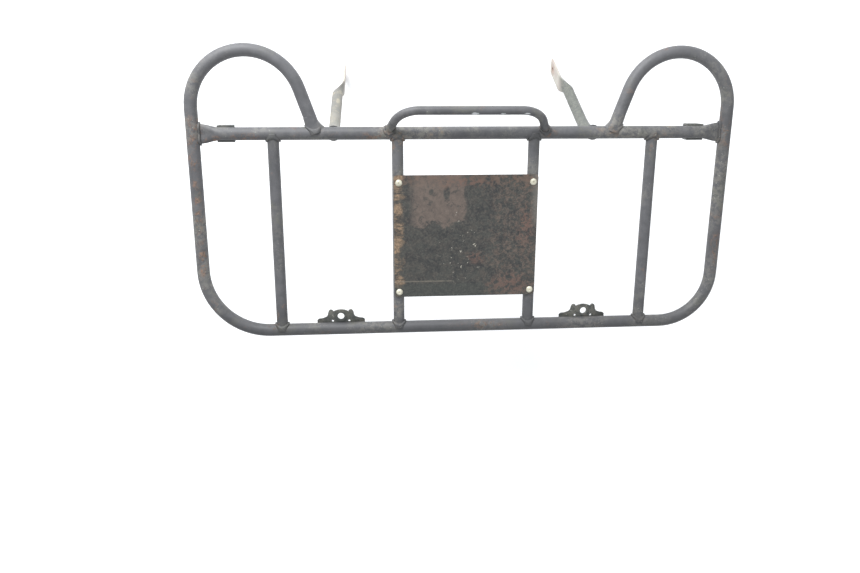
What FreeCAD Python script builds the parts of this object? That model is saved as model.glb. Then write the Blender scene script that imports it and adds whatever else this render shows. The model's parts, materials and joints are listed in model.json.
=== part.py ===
# ATV luggage rack, welded steel tube with a riveted centre plate.
#
# Deck frame used while modelling: X across the vehicle, Y from the outer rail
# towards the ear loops, Z up, with Z = 0 on the plane of the tube centrelines
# and Y = 0 on the centreline of the outer rail.  Every finished piece is then
# placed by (0, base_y, deck_z), so that the row's origin is under the middle
# of the rack, level with the lowest point of the two stays.
import FreeCAD, Part
import math
import os

import Sketcher
from FreeCAD import Placement, Rotation, Vector

doc = FreeCAD.newDocument("luggage_rack")

# ---------------------------------------------------------------- dimensions
sheet = doc.addObject("Spreadsheet::Sheet", "Dimensions")
ROWS = [
    ("rail_od", 19.1, "perimeter tube and inner rail, outside diameter"),
    ("rail_wall", 1.8, "their wall"),
    ("bar_od", 17.3, "crossbars and stays, outside diameter"),
    ("bar_wall", 1.6, "their wall"),
    ("grip_od", 12.7, "grab handle, outside diameter"),
    ("grip_wall", 1.5, "its wall"),
    ("side_x", 401.5, "centreline of each side tube"),
    ("corner_rad", 80, "bend radius of the right outer corner"),
    ("corner_rad_l", 97, "bend radius of the left outer corner"),
    ("ear_rad", 80, "bend radius of the two ear loops"),
    ("ear_y", 341, "bend centre of the ear loops"),
    ("foot_x", 223.4, "where an ear leg's centreline meets the inner rail's"),
    ("rail_y", 303.5, "centreline of the inner rail"),
    ("flat_len", 30, "length over which each end of the inner rail is flattened"),
    ("flat_high", 28.6, "in-plane height of a flattened rail end"),
    ("flat_thick", 7.0, "thickness of a flattened rail end"),
    ("outer_bar_x", 286.5, "centreline of the outer crossbars"),
    ("inner_bar_x", 103.4, "centreline of the inner crossbars"),
    ("grip_lift", 50, "tilt of the grab handle's plane above the deck, degrees"),
    ("grip_rise", 54, "handle centreline from the rail's axis, in its plane"),
    ("grip_rad", 38, "bend radius of the handle"),
    ("grip_bend_x", 74.5, "bend centre of the handle"),
    ("grip_foot_x", 120.5, "where a handle leg meets the rail's axis"),
    ("grip_mid", 1.2, "middle of the handle along the rail"),
    ("stay_x", 196, "stay centreline at the inner rail"),
    ("stay_skew", -2, "both stays sit this far along the rail from even"),
    ("stay_drop", 0.5, "straight part of a stay under the rail"),
    ("stay_rad", 110, "bend radius of a stay"),
    ("stay_bend", 30, "bend angle of the right stay, from straight down"),
    ("stay_bend_l", 27, "bend angle of the left stay, from straight down"),
    ("stay_turn", 4.0, "a stay leans inboard by this turn about Z, degrees"),
    ("stay_round", 88, "round length after the bend"),
    ("stay_neck", 26, "length over which the stay's end is flattened"),
    ("tab_len", 58, "length of the flattened tab"),
    ("tab_wide", 27, "width of the tab"),
    ("tab_thick", 3.4, "thickness of the tab, two walls pressed together"),
    ("tab_shift", 9.3, "the tab's middle plane, inboard of the stay's axis"),
    ("tab_corner", 6.5, "corner radius of the tab's end"),
    ("tab_hole", 9.0, "bolt hole in the tab"),
    ("tab_hole_back", 15, "hole centre to the tab's end"),
    ("saddle_x", 354, "middle of each fender bracket"),
    ("saddle_wide", 25, "its width at the rail"),
    ("saddle_foot", 19, "its width at the bottom"),
    ("saddle_drop", 15, "its depth under the rail"),
    ("saddle_sheet", 2.5, "its sheet thickness"),
    ("saddle_hole", 7.0, "bolt hole in its bottom"),
    ("mount_x", 195, "middle of each mounting bracket"),
    ("mount_half", 39, "half of its overall width"),
    ("mount_flat", 12.3, "half width of its flat middle"),
    ("mount_reach", 30.5, "how far it reaches from the rail's centreline"),
    ("mount_hole_y", 20.0, "its bolt hole from the rail's centreline"),
    ("mount_hole", 10.6, "its bolt hole"),
    ("mount_sheet", 2.5, "its sheet thickness"),
    ("mount_fold", 18, "how far its wings are folded down, degrees"),
    ("plate_sheet", 2.0, "thickness of the centre plate"),
    ("plate_half", 110.3, "half of its width"),
    ("plate_low", 52.5, "its lower edge"),
    ("plate_high", 242, "its upper edge"),
    ("plate_corner", 5, "its corner radius"),
    ("rivet_x", 102.6, "rivet rows of the centre plate"),
    ("rivet_low", 60.5, "lower rivets"),
    ("rivet_high", 230.7, "upper rivets"),
    ("rivet_shank", 4.8, "rivet shank"),
    ("rivet_head", 10.2, "rivet head, diameter"),
    ("rivet_dome", 2.4, "rivet head, height"),
    ("rivet_bulb", 7.4, "blind side of a rivet, diameter"),
    ("bead", 2.4, "leg of a weld fillet"),
    ("base_y", -210.5, "deck frame to row frame, along Y"),
    ("deck_z", 218.38, "tube centrelines above the stays' lowest point"),
]
for i, (alias, value, note) in enumerate(ROWS, start=1):
    sheet.set("A%d" % i, note)
    sheet.set("B%d" % i, str(value))
    sheet.setAlias("B%d" % i, alias)
doc.recompute()
D = {alias: float(sheet.get(alias)) for alias, _, _ in ROWS}

parts = []


def bind(obj, prop, expr):
    obj.setExpression(prop, expr)


def finished(obj, name):
    """Name a sub-part and stand it in the row's frame."""
    obj.Label = name
    obj.Placement = Placement(Vector(0, D["base_y"], D["deck_z"]), Rotation())
    if not obj.isDerivedFrom("Part::Feature") or obj.TypeId != "Part::Feature":
        bind(obj, "Placement.Base.y", "Dimensions.base_y")
        bind(obj, "Placement.Base.z", "Dimensions.deck_z")
    parts.append((name, obj))
    return obj


def rod(name, radius, height, base, axis):
    """A Part::Cylinder with bound radius and height, standing at base along axis.
    base is three expressions or numbers, axis is X, Y or Z."""
    c = doc.addObject("Part::Cylinder", name)
    bind(c, "Radius", radius)
    bind(c, "Height", height)
    turn = {"X": Rotation(Vector(0, 1, 0), 90), "Y": Rotation(Vector(1, 0, 0), -90),
            "Z": Rotation()}[axis]
    c.Placement = Placement(Vector(), turn)
    for k, v in zip("xyz", base):
        bind(c, "Placement.Base." + k, str(v))
    return c


def cut(name, base, tool):
    o = doc.addObject("Part::Cut", name)
    o.Base = base
    o.Tool = tool
    return o


def common(name, *shapes):
    o = doc.addObject("Part::MultiCommon", name)
    o.Shapes = list(shapes)
    return o


def fuse(name, *shapes):
    o = doc.addObject("Part::MultiFuse", name)
    o.Shapes = list(shapes)
    return o


def solid_feature(name, shape):
    o = doc.addObject("Part::Feature", name)
    o.Shape = shape
    return o


def plane_of(body, role):
    for f in body.Origin.OriginFeatures:
        if f.Role == role:
            return f
    raise RuntimeError(role)


def pipe_body(name, lay_path, od, wall, offset=None):
    """A bent tube: a ring section carried along a sketched centreline."""
    body = doc.addObject("PartDesign::Body", name)
    path = body.newObject("Sketcher::SketchObject", name + "_path")
    path.AttachmentSupport = [(plane_of(body, "XY_Plane"), "")]
    path.MapMode = "FlatFace"
    if offset is not None:
        path.AttachmentOffset = offset
    count = lay_path(path)
    doc.recompute()
    ring = body.newObject("Sketcher::SketchObject", name + "_ring")
    ring.AttachmentSupport = [(path, "Edge1")]
    ring.MapMode = "NormalToEdge"
    ring.MapPathParameter = 0.0
    for k, (label, size) in enumerate((("outside", D[od] / 2), ("bore", D[od] / 2 - D[wall]))):
        ring.addGeometry(Part.Circle(Vector(), Vector(0, 0, 1), size), False)
        ring.addConstraint(Sketcher.Constraint("Coincident", k, 3, -1, 1))
        n = ring.addConstraint(Sketcher.Constraint("Radius", k, size))
        ring.renameConstraint(n, label)
    bind(ring, "Constraints.outside", "Dimensions.%s / 2" % od)
    bind(ring, "Constraints.bore", "Dimensions.%s / 2 - Dimensions.%s" % (od, wall))
    pipe = body.newObject("PartDesign::AdditivePipe", name + "_pipe")
    pipe.Profile = ring
    pipe.Spine = (path, ["Edge%d" % (k + 1) for k in range(count)])
    pipe.Transition = 0
    body.Tip = pipe
    doc.recompute()
    return body


def size(sk, name, expr, *args):
    n = sk.addConstraint(Sketcher.Constraint(*args))
    sk.renameConstraint(n, name)
    sk.setExpression("Constraints." + name, expr)


# ------------------------------------------------- envelopes used for coping
# A tube that ends on another is cut to the other's outside surface.
far = "2 * Dimensions.side_x"
env_outer = rod("env_outer_rail", "Dimensions.rail_od / 2", far,
                ("-Dimensions.side_x", "0", "0"), "X")
env_inner = rod("env_inner_rail", "Dimensions.rail_od / 2", "%s - 2 * Dimensions.flat_len" % far,
                ("-Dimensions.side_x + Dimensions.flat_len", "Dimensions.rail_y", "0"), "X")
env_side = {
    -1: rod("env_side_left", "Dimensions.rail_od / 2", "120",
            ("-Dimensions.side_x", "Dimensions.rail_y - 60", "0"), "Y"),
    1: rod("env_side_right", "Dimensions.rail_od / 2", "120",
           ("Dimensions.side_x", "Dimensions.rail_y - 60", "0"), "Y"),
}
SIDES = ((-1, "left"), (1, "right"))

# -------------------------------------------------------------- outer tube
# One tube bent into the whole outline: ear leg, ear, side, corner, outer rail
# and back again.  Both ear legs end on the inner rail.


def perimeter_path(sk):
    sx, cr, cl, er, ey = D["side_x"], D["corner_rad"], D["corner_rad_l"], D["ear_rad"], D["ear_y"]
    cx = sx - er
    # tangent from the foot of the right ear's leg to its arc, on the inboard side
    base = math.atan2(D["rail_y"] - ey, D["foot_x"] - cx)
    open_ang = math.acos(er / math.hypot(cx - D["foot_x"], ey - D["rail_y"]))
    t = (base - open_ang) % (2 * math.pi)
    rt = Vector(cx + er * math.cos(t), ey + er * math.sin(t), 0)
    lt = Vector(-rt.x, rt.y, 0)
    foot_r, foot_l = Vector(D["foot_x"], D["rail_y"], 0), Vector(-D["foot_x"], D["rail_y"], 0)
    z = Vector(0, 0, 1)

    def arc(c, r, a0, a1):
        return Part.ArcOfCircle(Part.Circle(c, z, r), a0, a1)

    g = [
        Part.LineSegment(foot_l, lt),
        arc(Vector(-cx, ey, 0), er, math.pi - t, math.pi),
        Part.LineSegment(Vector(-sx, ey, 0), Vector(-sx, cl, 0)),
        arc(Vector(-(sx - cl), cl, 0), cl, math.pi, 1.5 * math.pi),
        Part.LineSegment(Vector(-(sx - cl), 0, 0), Vector(sx - cr, 0, 0)),
        arc(Vector(sx - cr, cr, 0), cr, 1.5 * math.pi, 2 * math.pi),
        Part.LineSegment(Vector(sx, cr, 0), Vector(sx, ey, 0)),
        arc(Vector(cx, ey, 0), er, 0, t),
        Part.LineSegment(rt, foot_r),
    ]
    sk.addGeometry(g, False)
    C = Sketcher.Constraint
    for a_, pa, b_, pb in ((0, 2, 1, 1), (1, 2, 2, 1), (2, 2, 3, 1), (3, 2, 4, 1),
                           (4, 2, 5, 1), (5, 2, 6, 1), (6, 2, 7, 1), (7, 2, 8, 1)):
        sk.addConstraint(C("Tangent", a_, pa, b_, pb))
    sk.addConstraint(C("Vertical", 2))
    sk.addConstraint(C("Vertical", 6))
    sk.addConstraint(C("PointOnObject", 4, 1, -1))
    sk.addConstraint(C("PointOnObject", 4, 2, -1))
    size(sk, "corner_l", "Dimensions.corner_rad_l", "Radius", 3, cl)
    size(sk, "corner_r", "Dimensions.corner_rad", "Radius", 5, cr)
    size(sk, "ear_l", "Dimensions.ear_rad", "Radius", 1, er)
    size(sk, "ear_r", "Dimensions.ear_rad", "Radius", 7, er)
    size(sk, "side_l", "Dimensions.side_x", "DistanceX", 2, 1, -1, 1, sx)
    size(sk, "side_r", "Dimensions.side_x", "DistanceX", -1, 1, 6, 1, sx)
    size(sk, "ear_y_l", "Dimensions.ear_y", "DistanceY", -1, 1, 1, 3, ey)
    size(sk, "ear_y_r", "Dimensions.ear_y", "DistanceY", -1, 1, 7, 3, ey)
    size(sk, "foot_x_l", "Dimensions.foot_x", "DistanceX", 0, 1, -1, 1, D["foot_x"])
    size(sk, "foot_y_l", "Dimensions.rail_y", "DistanceY", -1, 1, 0, 1, D["rail_y"])
    size(sk, "foot_x_r", "Dimensions.foot_x", "DistanceX", -1, 1, 8, 2, D["foot_x"])
    size(sk, "foot_y_r", "Dimensions.rail_y", "DistanceY", -1, 1, 8, 2, D["rail_y"])
    perimeter_path.tangent = (rt, t)
    return len(g)


perimeter = pipe_body("perimeter_body", perimeter_path, "rail_od", "rail_wall")
finished(cut("perimeter_tube_cut", perimeter, env_inner), "perimeter_tube")

# -------------------------------------------------------------- inner rail
# A straight tube whose two ends are pressed flat in the deck plane, with a
# dent down the middle of each flat, and butted against the side tubes.


def dented_ring(x, k, od, wall, inner=False, high=None, thick=None):
    """One cross-section of the rail at x: k = 0 is round and k = 1 is pressed
    flat.  Y is across the flat and Z is its thickness."""
    r = od / 2 - (wall if inner else 0)
    h = (high / 2 - (wall if inner else 0)) * k + r * (1 - k)
    t = (thick / 2 - (wall if inner else 0)) * k + r * (1 - k)
    t = max(t, 0.7)
    pts = []
    n = 32
    for i in range(n):
        a = 2 * math.pi * i / n
        c, s = math.cos(a), math.sin(a)
        p = 1.0 - 0.16 * k
        y = math.copysign(abs(c) ** p, c) * h
        z = math.copysign(abs(s) ** p, s) * t
        # the dent: both walls sink towards each other in the middle
        if not inner:
            z *= 1 - 0.30 * k * math.exp(-(y / (0.42 * h)) ** 2)
        pts.append(Vector(x, y, z))
    b = Part.BSplineCurve()
    b.interpolate(pts, PeriodicFlag=True)
    return Part.Wire([b.toShape()])


def smooth(v):
    v = min(1.0, max(0.0, v))
    return v * v * (3 - 2 * v)


def rail_shape():
    od, wall = D["rail_od"], D["rail_wall"]
    end = D["side_x"] - 3.0
    start = D["side_x"] - D["rail_od"] / 2 - D["flat_len"]
    steps = 12
    solids = []
    for inner in (False, True):
        stations = [(end + (1.0 if inner else 0.0), 1.0)]
        for i in range(steps, -1, -1):
            f = i / steps
            stations.append((start + f * (end - start) * 0.78, smooth(f)))
        stations = stations + [(-x, k) for x, k in reversed(stations)]
        wires = [dented_ring(x, k, od, wall, inner, D["flat_high"], D["flat_thick"]) for x, k in stations]
        solids.append(Part.makeLoft(wires, True, True))
    return solids


outer_rail_solid, rail_bore = rail_shape()
rail_skin = solid_feature("rail_skin", outer_rail_solid)
rail_skin.Placement = Placement(Vector(0, D["rail_y"], 0), Rotation())
rail_void = solid_feature("rail_void", rail_bore)
rail_void.Placement = Placement(Vector(0, D["rail_y"], 0), Rotation())
rail_tube = cut("rail_tube", rail_skin, rail_void)
rail_a = cut("rail_coped_left", rail_tube, env_side[-1])
rail_b = cut("rail_coped_right", rail_a, env_side[1])
finished(rail_b, "inner_rail")

# --------------------------------------------------------------- crossbars
rivet_spots = []
for s, side in SIDES:
    for which, x in (("outer", "outer_bar_x"), ("inner", "inner_bar_x")):
        n = "%s_crossbar_%s" % (which, side)
        at = ("%d * Dimensions.%s" % (s, x), "0", "0")
        skin = rod(n + "_skin", "Dimensions.bar_od / 2", "Dimensions.rail_y", at, "Y")
        bore = rod(n + "_bore", "Dimensions.bar_od / 2 - Dimensions.bar_wall",
                   "Dimensions.rail_y", at, "Y")
        t = cut(n + "_tube", skin, bore)
        t = cut(n + "_low", t, env_outer)
        t = cut(n + "_high", t, env_inner)
        if which == "inner":
            # rivet holes through the top wall only
            holes = []
            for y in ("rivet_low", "rivet_high"):
                holes.append(rod("%s_%s" % (n, y), "Dimensions.rivet_shank / 2", "12",
                                 ("%d * Dimensions.rivet_x" % s, "Dimensions." + y, "0"), "Z"))
            t = cut(n + "_drilled", t, fuse(n + "_holes", *holes))
        finished(t, n)

# -------------------------------------------------------------- grab handle
# Bent in one plane that rises from the inner rail's axis.


def grip_path(sk):
    rise, rad, bx, fx = D["grip_rise"], D["grip_rad"], D["grip_bend_x"], D["grip_foot_x"]
    cy = rise - rad
    dx, dy = fx - bx, -cy
    span = math.hypot(dx, dy)
    t = math.atan2(dy, dx) + math.acos(rad / span)
    rt = Vector(bx + rad * math.cos(t), cy + rad * math.sin(t), 0)
    z = Vector(0, 0, 1)
    g = [
        Part.LineSegment(Vector(-fx, 0, 0), Vector(-rt.x, rt.y, 0)),
        Part.ArcOfCircle(Part.Circle(Vector(-bx, cy, 0), z, rad), math.pi / 2, math.pi - t),
        Part.LineSegment(Vector(-bx, rise, 0), Vector(bx, rise, 0)),
        Part.ArcOfCircle(Part.Circle(Vector(bx, cy, 0), z, rad), t, math.pi / 2),
        Part.LineSegment(rt, Vector(fx, 0, 0)),
    ]
    sk.addGeometry(g, False)
    C = Sketcher.Constraint
    for a_, pa, b_, pb in ((0, 2, 1, 2), (1, 1, 2, 1), (2, 2, 3, 2), (3, 1, 4, 1)):
        sk.addConstraint(C("Tangent", a_, pa, b_, pb))
    sk.addConstraint(C("PointOnObject", 0, 1, -1))
    sk.addConstraint(C("PointOnObject", 4, 2, -1))
    sk.addConstraint(C("Horizontal", 2))
    size(sk, "rise", "Dimensions.grip_rise", "DistanceY", -1, 1, 2, 1, rise)
    size(sk, "rad_l", "Dimensions.grip_rad", "Radius", 1, rad)
    size(sk, "rad_r", "Dimensions.grip_rad", "Radius", 3, rad)
    size(sk, "foot_l", "Dimensions.grip_foot_x", "DistanceX", 0, 1, -1, 1, fx)
    size(sk, "foot_r", "Dimensions.grip_foot_x", "DistanceX", -1, 1, 4, 2, fx)
    size(sk, "bend_l", "Dimensions.grip_bend_x", "DistanceX", 1, 3, -1, 1, bx)
    size(sk, "bend_r", "Dimensions.grip_bend_x", "DistanceX", -1, 1, 3, 3, bx)
    grip_path.leg = (rt, t)
    return len(g)


lift = Rotation(Vector(1, 0, 0), D["grip_lift"])
grip = pipe_body("grip_body", grip_path, "grip_od", "grip_wall",
                 Placement(Vector(D["grip_mid"], D["rail_y"], 0), lift))
finished(cut("grab_handle_cut", grip, env_inner), "grab_handle")

# -------------------------------------------------------------------- stays
# Local frame of one stay: Y forward, Z up, X inboard, origin on the inner
# rail's centreline.  The tube drops from under the rail, bends forward, and
# its end is pressed into a flat drilled tab on the inboard side.


def obround(u, half_wide, half_thick):
    """Point at the fraction u of a flat strip's outline, with rounded edges,
    measured from its edge on the plus side of the width."""
    flat = 2 * (half_wide - half_thick)
    curl = math.pi * half_thick
    q = (u * (2 * flat + 2 * curl)) % (2 * flat + 2 * curl)
    c = half_wide - half_thick
    if q < curl / 2:
        a = q / half_thick
        return c + half_thick * math.cos(a), half_thick * math.sin(a)
    q -= curl / 2
    if q < flat:
        return c - q, half_thick
    q -= flat
    if q < curl:
        a = math.pi / 2 + q / half_thick
        return -c + half_thick * math.cos(a), half_thick * math.sin(a)
    q -= curl
    if q < flat:
        return -c + q, -half_thick
    q -= flat
    a = -math.pi / 2 + q / half_thick
    return c + half_thick * math.cos(a), half_thick * math.sin(a)


def squashed(k, radius, half_wide, half_thick, shift, valley):
    """Section points (across X, along the width) of a stay: round at k = 0 and
    pressed flat, inboard of the axis, at k = 1."""
    n = 40
    pts = []
    for i in range(n):
        u = (i + 0.5) / n
        a = 2 * math.pi * u
        w0, x0 = radius * math.cos(a), radius * math.sin(a)
        w1, x1 = obround(u, half_wide, half_thick)
        w, x = w0 * (1 - k) + w1 * k, x0 * (1 - k) + (x1 + shift) * k
        if valley and x0 < 0:
            # the outboard wall folds in along a shallow valley
            x += valley * math.sin(math.pi * k) * math.exp(-(w / (0.38 * half_wide)) ** 2)
        pts.append((x, w))
    return pts


def stay_shapes(bend):
    r, wall = D["bar_od"] / 2, D["bar_wall"]
    bend = math.radians(bend)
    z1 = -D["rail_od"] / 2 - D["stay_drop"]
    rad = D["stay_rad"]
    p_c = Vector(0, rad * (1 - math.cos(bend)), z1 - rad * math.sin(bend))
    d = Vector(0, math.sin(bend), -math.cos(bend))
    p_d = p_c + d * D["stay_round"]
    neck = D["stay_neck"]
    # stations: centre, direction across the width, flattening
    st = [(Vector(0, 0, -2), 0.0, 0.0), (Vector(0, 0, z1), 0.0, 0.0)]
    for i in range(1, 11):
        a = bend * i / 10
        st.append((Vector(0, rad * (1 - math.cos(a)), z1 - rad * math.sin(a)), a, 0.0))
    st.append((p_d, bend, 0.0))
    for i in range(1, 13):
        f = i / 12
        st.append((p_d + d * (neck * f), bend, smooth(f)))
    tip = p_d + d * (neck + D["tab_len"])

    def wire(c, a, pts):
        across = Vector(0, math.cos(a), math.sin(a))
        b = Part.BSplineCurve()
        b.interpolate([c + across * w + Vector(x, 0, 0) for x, w in pts], PeriodicFlag=True)
        return Part.Wire([b.toShape()])

    tw, tt = D["tab_wide"] / 2, D["tab_thick"] / 2
    skin = Part.makeLoft([wire(c, a, squashed(k, r, tw, tt, D["tab_shift"], 2.2)) for c, a, k in st + [(tip, bend, 1.0)]],
                         True, True)
    void = Part.makeLoft([wire(c, a, squashed(k, r - wall, tw - 3.2, 0.3, D["tab_shift"], 1.2)) for c, a, k in
                          [(Vector(0, 0, 0), 0.0, 0.0)] + st[1:-1]], True, True)
    across = Vector(0, math.cos(bend), math.sin(bend))
    base = p_d + d * neck + Vector(D["tab_shift"], 0, 0)
    cr, tl = D["tab_corner"], D["tab_len"]

    def at(s_, w, x=0):
        return base + d * s_ + across * w + Vector(x, 0, 0)

    whole = skin.cut(void)
    # rounded corners of the tab's end
    q = math.sin(math.pi / 4)
    for k in (-1, 1):
        e = [
            Part.Arc(at(tl - cr, k * tw, -6), at(tl - cr + cr * q, k * (tw - cr + cr * q), -6), at(tl, k * (tw - cr), -6)).toShape(),
            Part.LineSegment(at(tl, k * (tw - cr), -6), at(tl + 4, k * (tw - cr), -6)).toShape(),
            Part.LineSegment(at(tl + 4, k * (tw - cr), -6), at(tl + 4, k * (tw + 4), -6)).toShape(),
            Part.LineSegment(at(tl + 4, k * (tw + 4), -6), at(tl - cr, k * (tw + 4), -6)).toShape(),
            Part.LineSegment(at(tl - cr, k * (tw + 4), -6), at(tl - cr, k * tw, -6)).toShape(),
        ]
        whole = whole.cut(Part.Face(Part.Wire(e)).extrude(Vector(12, 0, 0)))
    back = D["tab_hole_back"]
    whole = whole.cut(Part.makeCylinder(D["tab_hole"] / 2, 12, at(tl - back, 0, -6), Vector(1, 0, 0)))
    return whole, at(tl - back, 0)


stay_turned = {}
for s, side in SIDES:
    stay_local, tab_hole_at = stay_shapes(D["stay_bend_l"] if s < 0 else D["stay_bend"])
    stay_solids = [q for q in stay_local.Solids if q.Volume > 500]
    if len(stay_solids) != 1:
        raise SystemExit("a stay is %d solids" % len(stay_solids))
    shape = stay_solids[0].copy()
    if s > 0:
        # mirror so that the tab is inboard on this side as well
        shape = shape.mirror(Vector(), Vector(1, 0, 0))
    turn = Rotation(Vector(0, 0, 1), s * D["stay_turn"])
    f = solid_feature("stay_blank_" + side, shape)
    f.Placement = Placement(Vector(s * D["stay_x"] + D["stay_skew"], D["rail_y"], 0), turn)
    stay_turned[s] = f
    finished(cut("stay_%s_coped" % side, f, env_inner), "stay_" + side)
    q = tab_hole_at if s < 0 else Vector(-tab_hole_at.x, tab_hole_at.y, tab_hole_at.z)
    h = f.Placement.multVec(q)
    ax = turn.multVec(Vector(1, 0, 0))
    print("tab hole %s: %.3f %.3f %.3f axis %.5f %.5f" % (side, h.x, h.y + D["base_y"], h.z + D["deck_z"], ax.x, ax.y))

# --------------------------------------------------------- fender brackets
# A bent U of sheet hugging the inner rail from below, its walls tapering to
# a drilled bottom.


def saddle(side, s):
    n = "fender_bracket_" + side
    body = doc.addObject("PartDesign::Body", n + "_body")
    sk = body.newObject("Sketcher::SketchObject", n + "_u")
    sk.AttachmentSupport = [(plane_of(body, "YZ_Plane"), "")]
    sk.MapMode = "FlatFace"
    r, t, drop = D["rail_od"] / 2, D["saddle_sheet"], D["saddle_drop"]
    top, low = 1.0, -(r + drop)
    ro, ri = 4.0, 4.0 - t
    yi, yo = r, r + t
    z = Vector(0, 0, 1)
    g = [
        Part.LineSegment(Vector(-yo, top, 0), Vector(-yo, low + ro, 0)),
        Part.ArcOfCircle(Part.Circle(Vector(-yo + ro, low + ro, 0), z, ro), math.pi, 1.5 * math.pi),
        Part.LineSegment(Vector(-yo + ro, low, 0), Vector(yo - ro, low, 0)),
        Part.ArcOfCircle(Part.Circle(Vector(yo - ro, low + ro, 0), z, ro), 1.5 * math.pi, 2 * math.pi),
        Part.LineSegment(Vector(yo, low + ro, 0), Vector(yo, top, 0)),
        Part.LineSegment(Vector(yo, top, 0), Vector(yi, top, 0)),
        Part.LineSegment(Vector(yi, top, 0), Vector(yi, low + ro, 0)),
        Part.ArcOfCircle(Part.Circle(Vector(yo - ro, low + ro, 0), z, ri), 1.5 * math.pi, 2 * math.pi),
        Part.LineSegment(Vector(yo - ro, low + t, 0), Vector(-yo + ro, low + t, 0)),
        Part.ArcOfCircle(Part.Circle(Vector(-yo + ro, low + ro, 0), z, ri), math.pi, 1.5 * math.pi),
        Part.LineSegment(Vector(-yi, low + ro, 0), Vector(-yi, top, 0)),
        Part.LineSegment(Vector(-yi, top, 0), Vector(-yo, top, 0)),
    ]
    sk.addGeometry(g, False)
    pad = body.newObject("PartDesign::Pad", n + "_pad")
    pad.Profile = sk
    pad.Midplane = True
    bind(pad, "Length", "Dimensions.saddle_wide")
    body.Tip = pad
    doc.recompute()
    # the taper of both walls, cut from each end
    wedges = []
    hw, hf = D["saddle_wide"] / 2, D["saddle_foot"] / 2
    for k in (-1, 1):
        pts = [Vector(k * hw, -40, -r * 0.4), Vector(k * (hw + 9), -40, -r * 0.4), Vector(k * (hw + 9), -40, low - 6),
               Vector(k * (hf - (hw - hf) * 6 / (drop + r * 0.6)), -40, low - 6)]
        w = Part.Face(Part.makePolygon(pts + [pts[0]])).extrude(Vector(0, 80, 0))
        wedges.append(w)
    taper = solid_feature(n + "_taper", Part.makeCompound(wedges))
    c = cut(n + "_tapered", body, taper)
    drill = rod(n + "_drill", "Dimensions.saddle_hole / 2", "20", ("0", "0", "-Dimensions.rail_od / 2 - Dimensions.saddle_drop - 8"), "Z")
    c = cut(n + "_drilled", c, drill)
    seat = rod(n + "_seat", "Dimensions.rail_od / 2", "60", ("-30", "0", "0"), "X")
    c = cut(n + "_seated", c, seat)
    c.Label = n
    c.Placement = Placement(Vector(s * D["saddle_x"], D["rail_y"] + D["base_y"], D["deck_z"]), Rotation())
    bind(c, "Placement.Base.x", "%d * Dimensions.saddle_x" % s)
    bind(c, "Placement.Base.y", "Dimensions.rail_y + Dimensions.base_y")
    bind(c, "Placement.Base.z", "Dimensions.deck_z")
    parts.append((n, c))


for s, side in SIDES:
    saddle(side, s)

# ------------------------------------------------------- mounting brackets
# A pressed plate on the inner side of the outer rail: a flat middle with a
# bolt hole in a raised ring, and two wings folded down along the rail.


def bracket_shape():
    t = D["mount_sheet"]
    hf, half, reach = D["mount_flat"], D["mount_half"], D["mount_reach"]
    r = D["rail_od"] / 2
    top = -1.0                       # upper face of the flat middle
    # flat middle with a domed edge over the hole
    e = [
        Part.LineSegment(Vector(hf, 2, top), Vector(-hf, 2, top)).toShape(),
        Part.LineSegment(Vector(-hf, 2, top), Vector(-hf, reach - 3.6, top)).toShape(),
        Part.Arc(Vector(-hf, reach - 3.6, top), Vector(0, reach, top), Vector(hf, reach - 3.6, top)).toShape(),
        Part.LineSegment(Vector(hf, reach - 3.6, top), Vector(hf, 2, top)).toShape(),
    ]
    mid = Part.Face(Part.Wire(e)).extrude(Vector(0, 0, -t))
    ring = Part.makeCylinder(D["mount_hole"] / 2 + 3.2, t + 1.4, Vector(0, D["mount_hole_y"], top - t), Vector(0, 0, 1))
    wings = []
    for k in (-1, 1):
        # outline of a wing in its own plane: first number along X from the fold
        w = half - hf
        pts = [(0, 2), (0, reach - 3.4), (2.2, reach - 0.8), (5.4, reach - 0.6), (7.6, reach - 3.6),
               (10.8, reach - 12.0), (14.2, 16.6), (19.0, 14.6), (w - 1.6, 13.0), (w, 11.0), (w, 2)]
        b = Part.BSplineCurve()
        curve = [Vector(x, y, 0) for x, y in pts[1:-1]]
        b.interpolate(curve)
        edge = [Part.LineSegment(Vector(0, 2, 0), Vector(0, reach - 3.4, 0)).toShape(), b.toShape(),
                Part.LineSegment(Vector(w, 11.0, 0), Vector(w, 2, 0)).toShape(),
                Part.LineSegment(Vector(w, 2, 0), Vector(0, 2, 0)).toShape()]
        f = Part.Face(Part.Wire(edge)).extrude(Vector(0, 0, -t))
        # the relief hole at the root of the fold, next to the rail
        f = f.cut(Part.makeCylinder(1.7, 3 * t, Vector(0.6, r + 2.4, -2 * t), Vector(0, 0, 1)))
        f.rotate(Vector(), Vector(0, 1, 0), D["mount_fold"])
        f.translate(Vector(hf, 0, top))
        if k < 0:
            f = f.mirror(Vector(), Vector(1, 0, 0))
        wings.append(f)
    whole = mid.fuse(ring).fuse(wings[0]).fuse(wings[1])
    for k in (-1, 1):
        whole = whole.cut(Part.makeCylinder(1.7, 6 * t, Vector(k * (hf + 0.6), r + 2.4, top - 4 * t), Vector(0, 0, 1)))
    whole = whole.cut(Part.makeCylinder(D["mount_hole"] / 2, 30, Vector(0, D["mount_hole_y"], top - 15), Vector(0, 0, 1)))
    return whole.removeSplitter()


mount_local = bracket_shape()
for s, side in SIDES:
    n = "mount_bracket_" + side
    f = solid_feature(n + "_blank", mount_local)
    f.Placement = Placement(Vector(s * D["mount_x"], 0, 0), Rotation())
    finished(cut(n + "_coped", f, env_outer), n)

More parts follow.
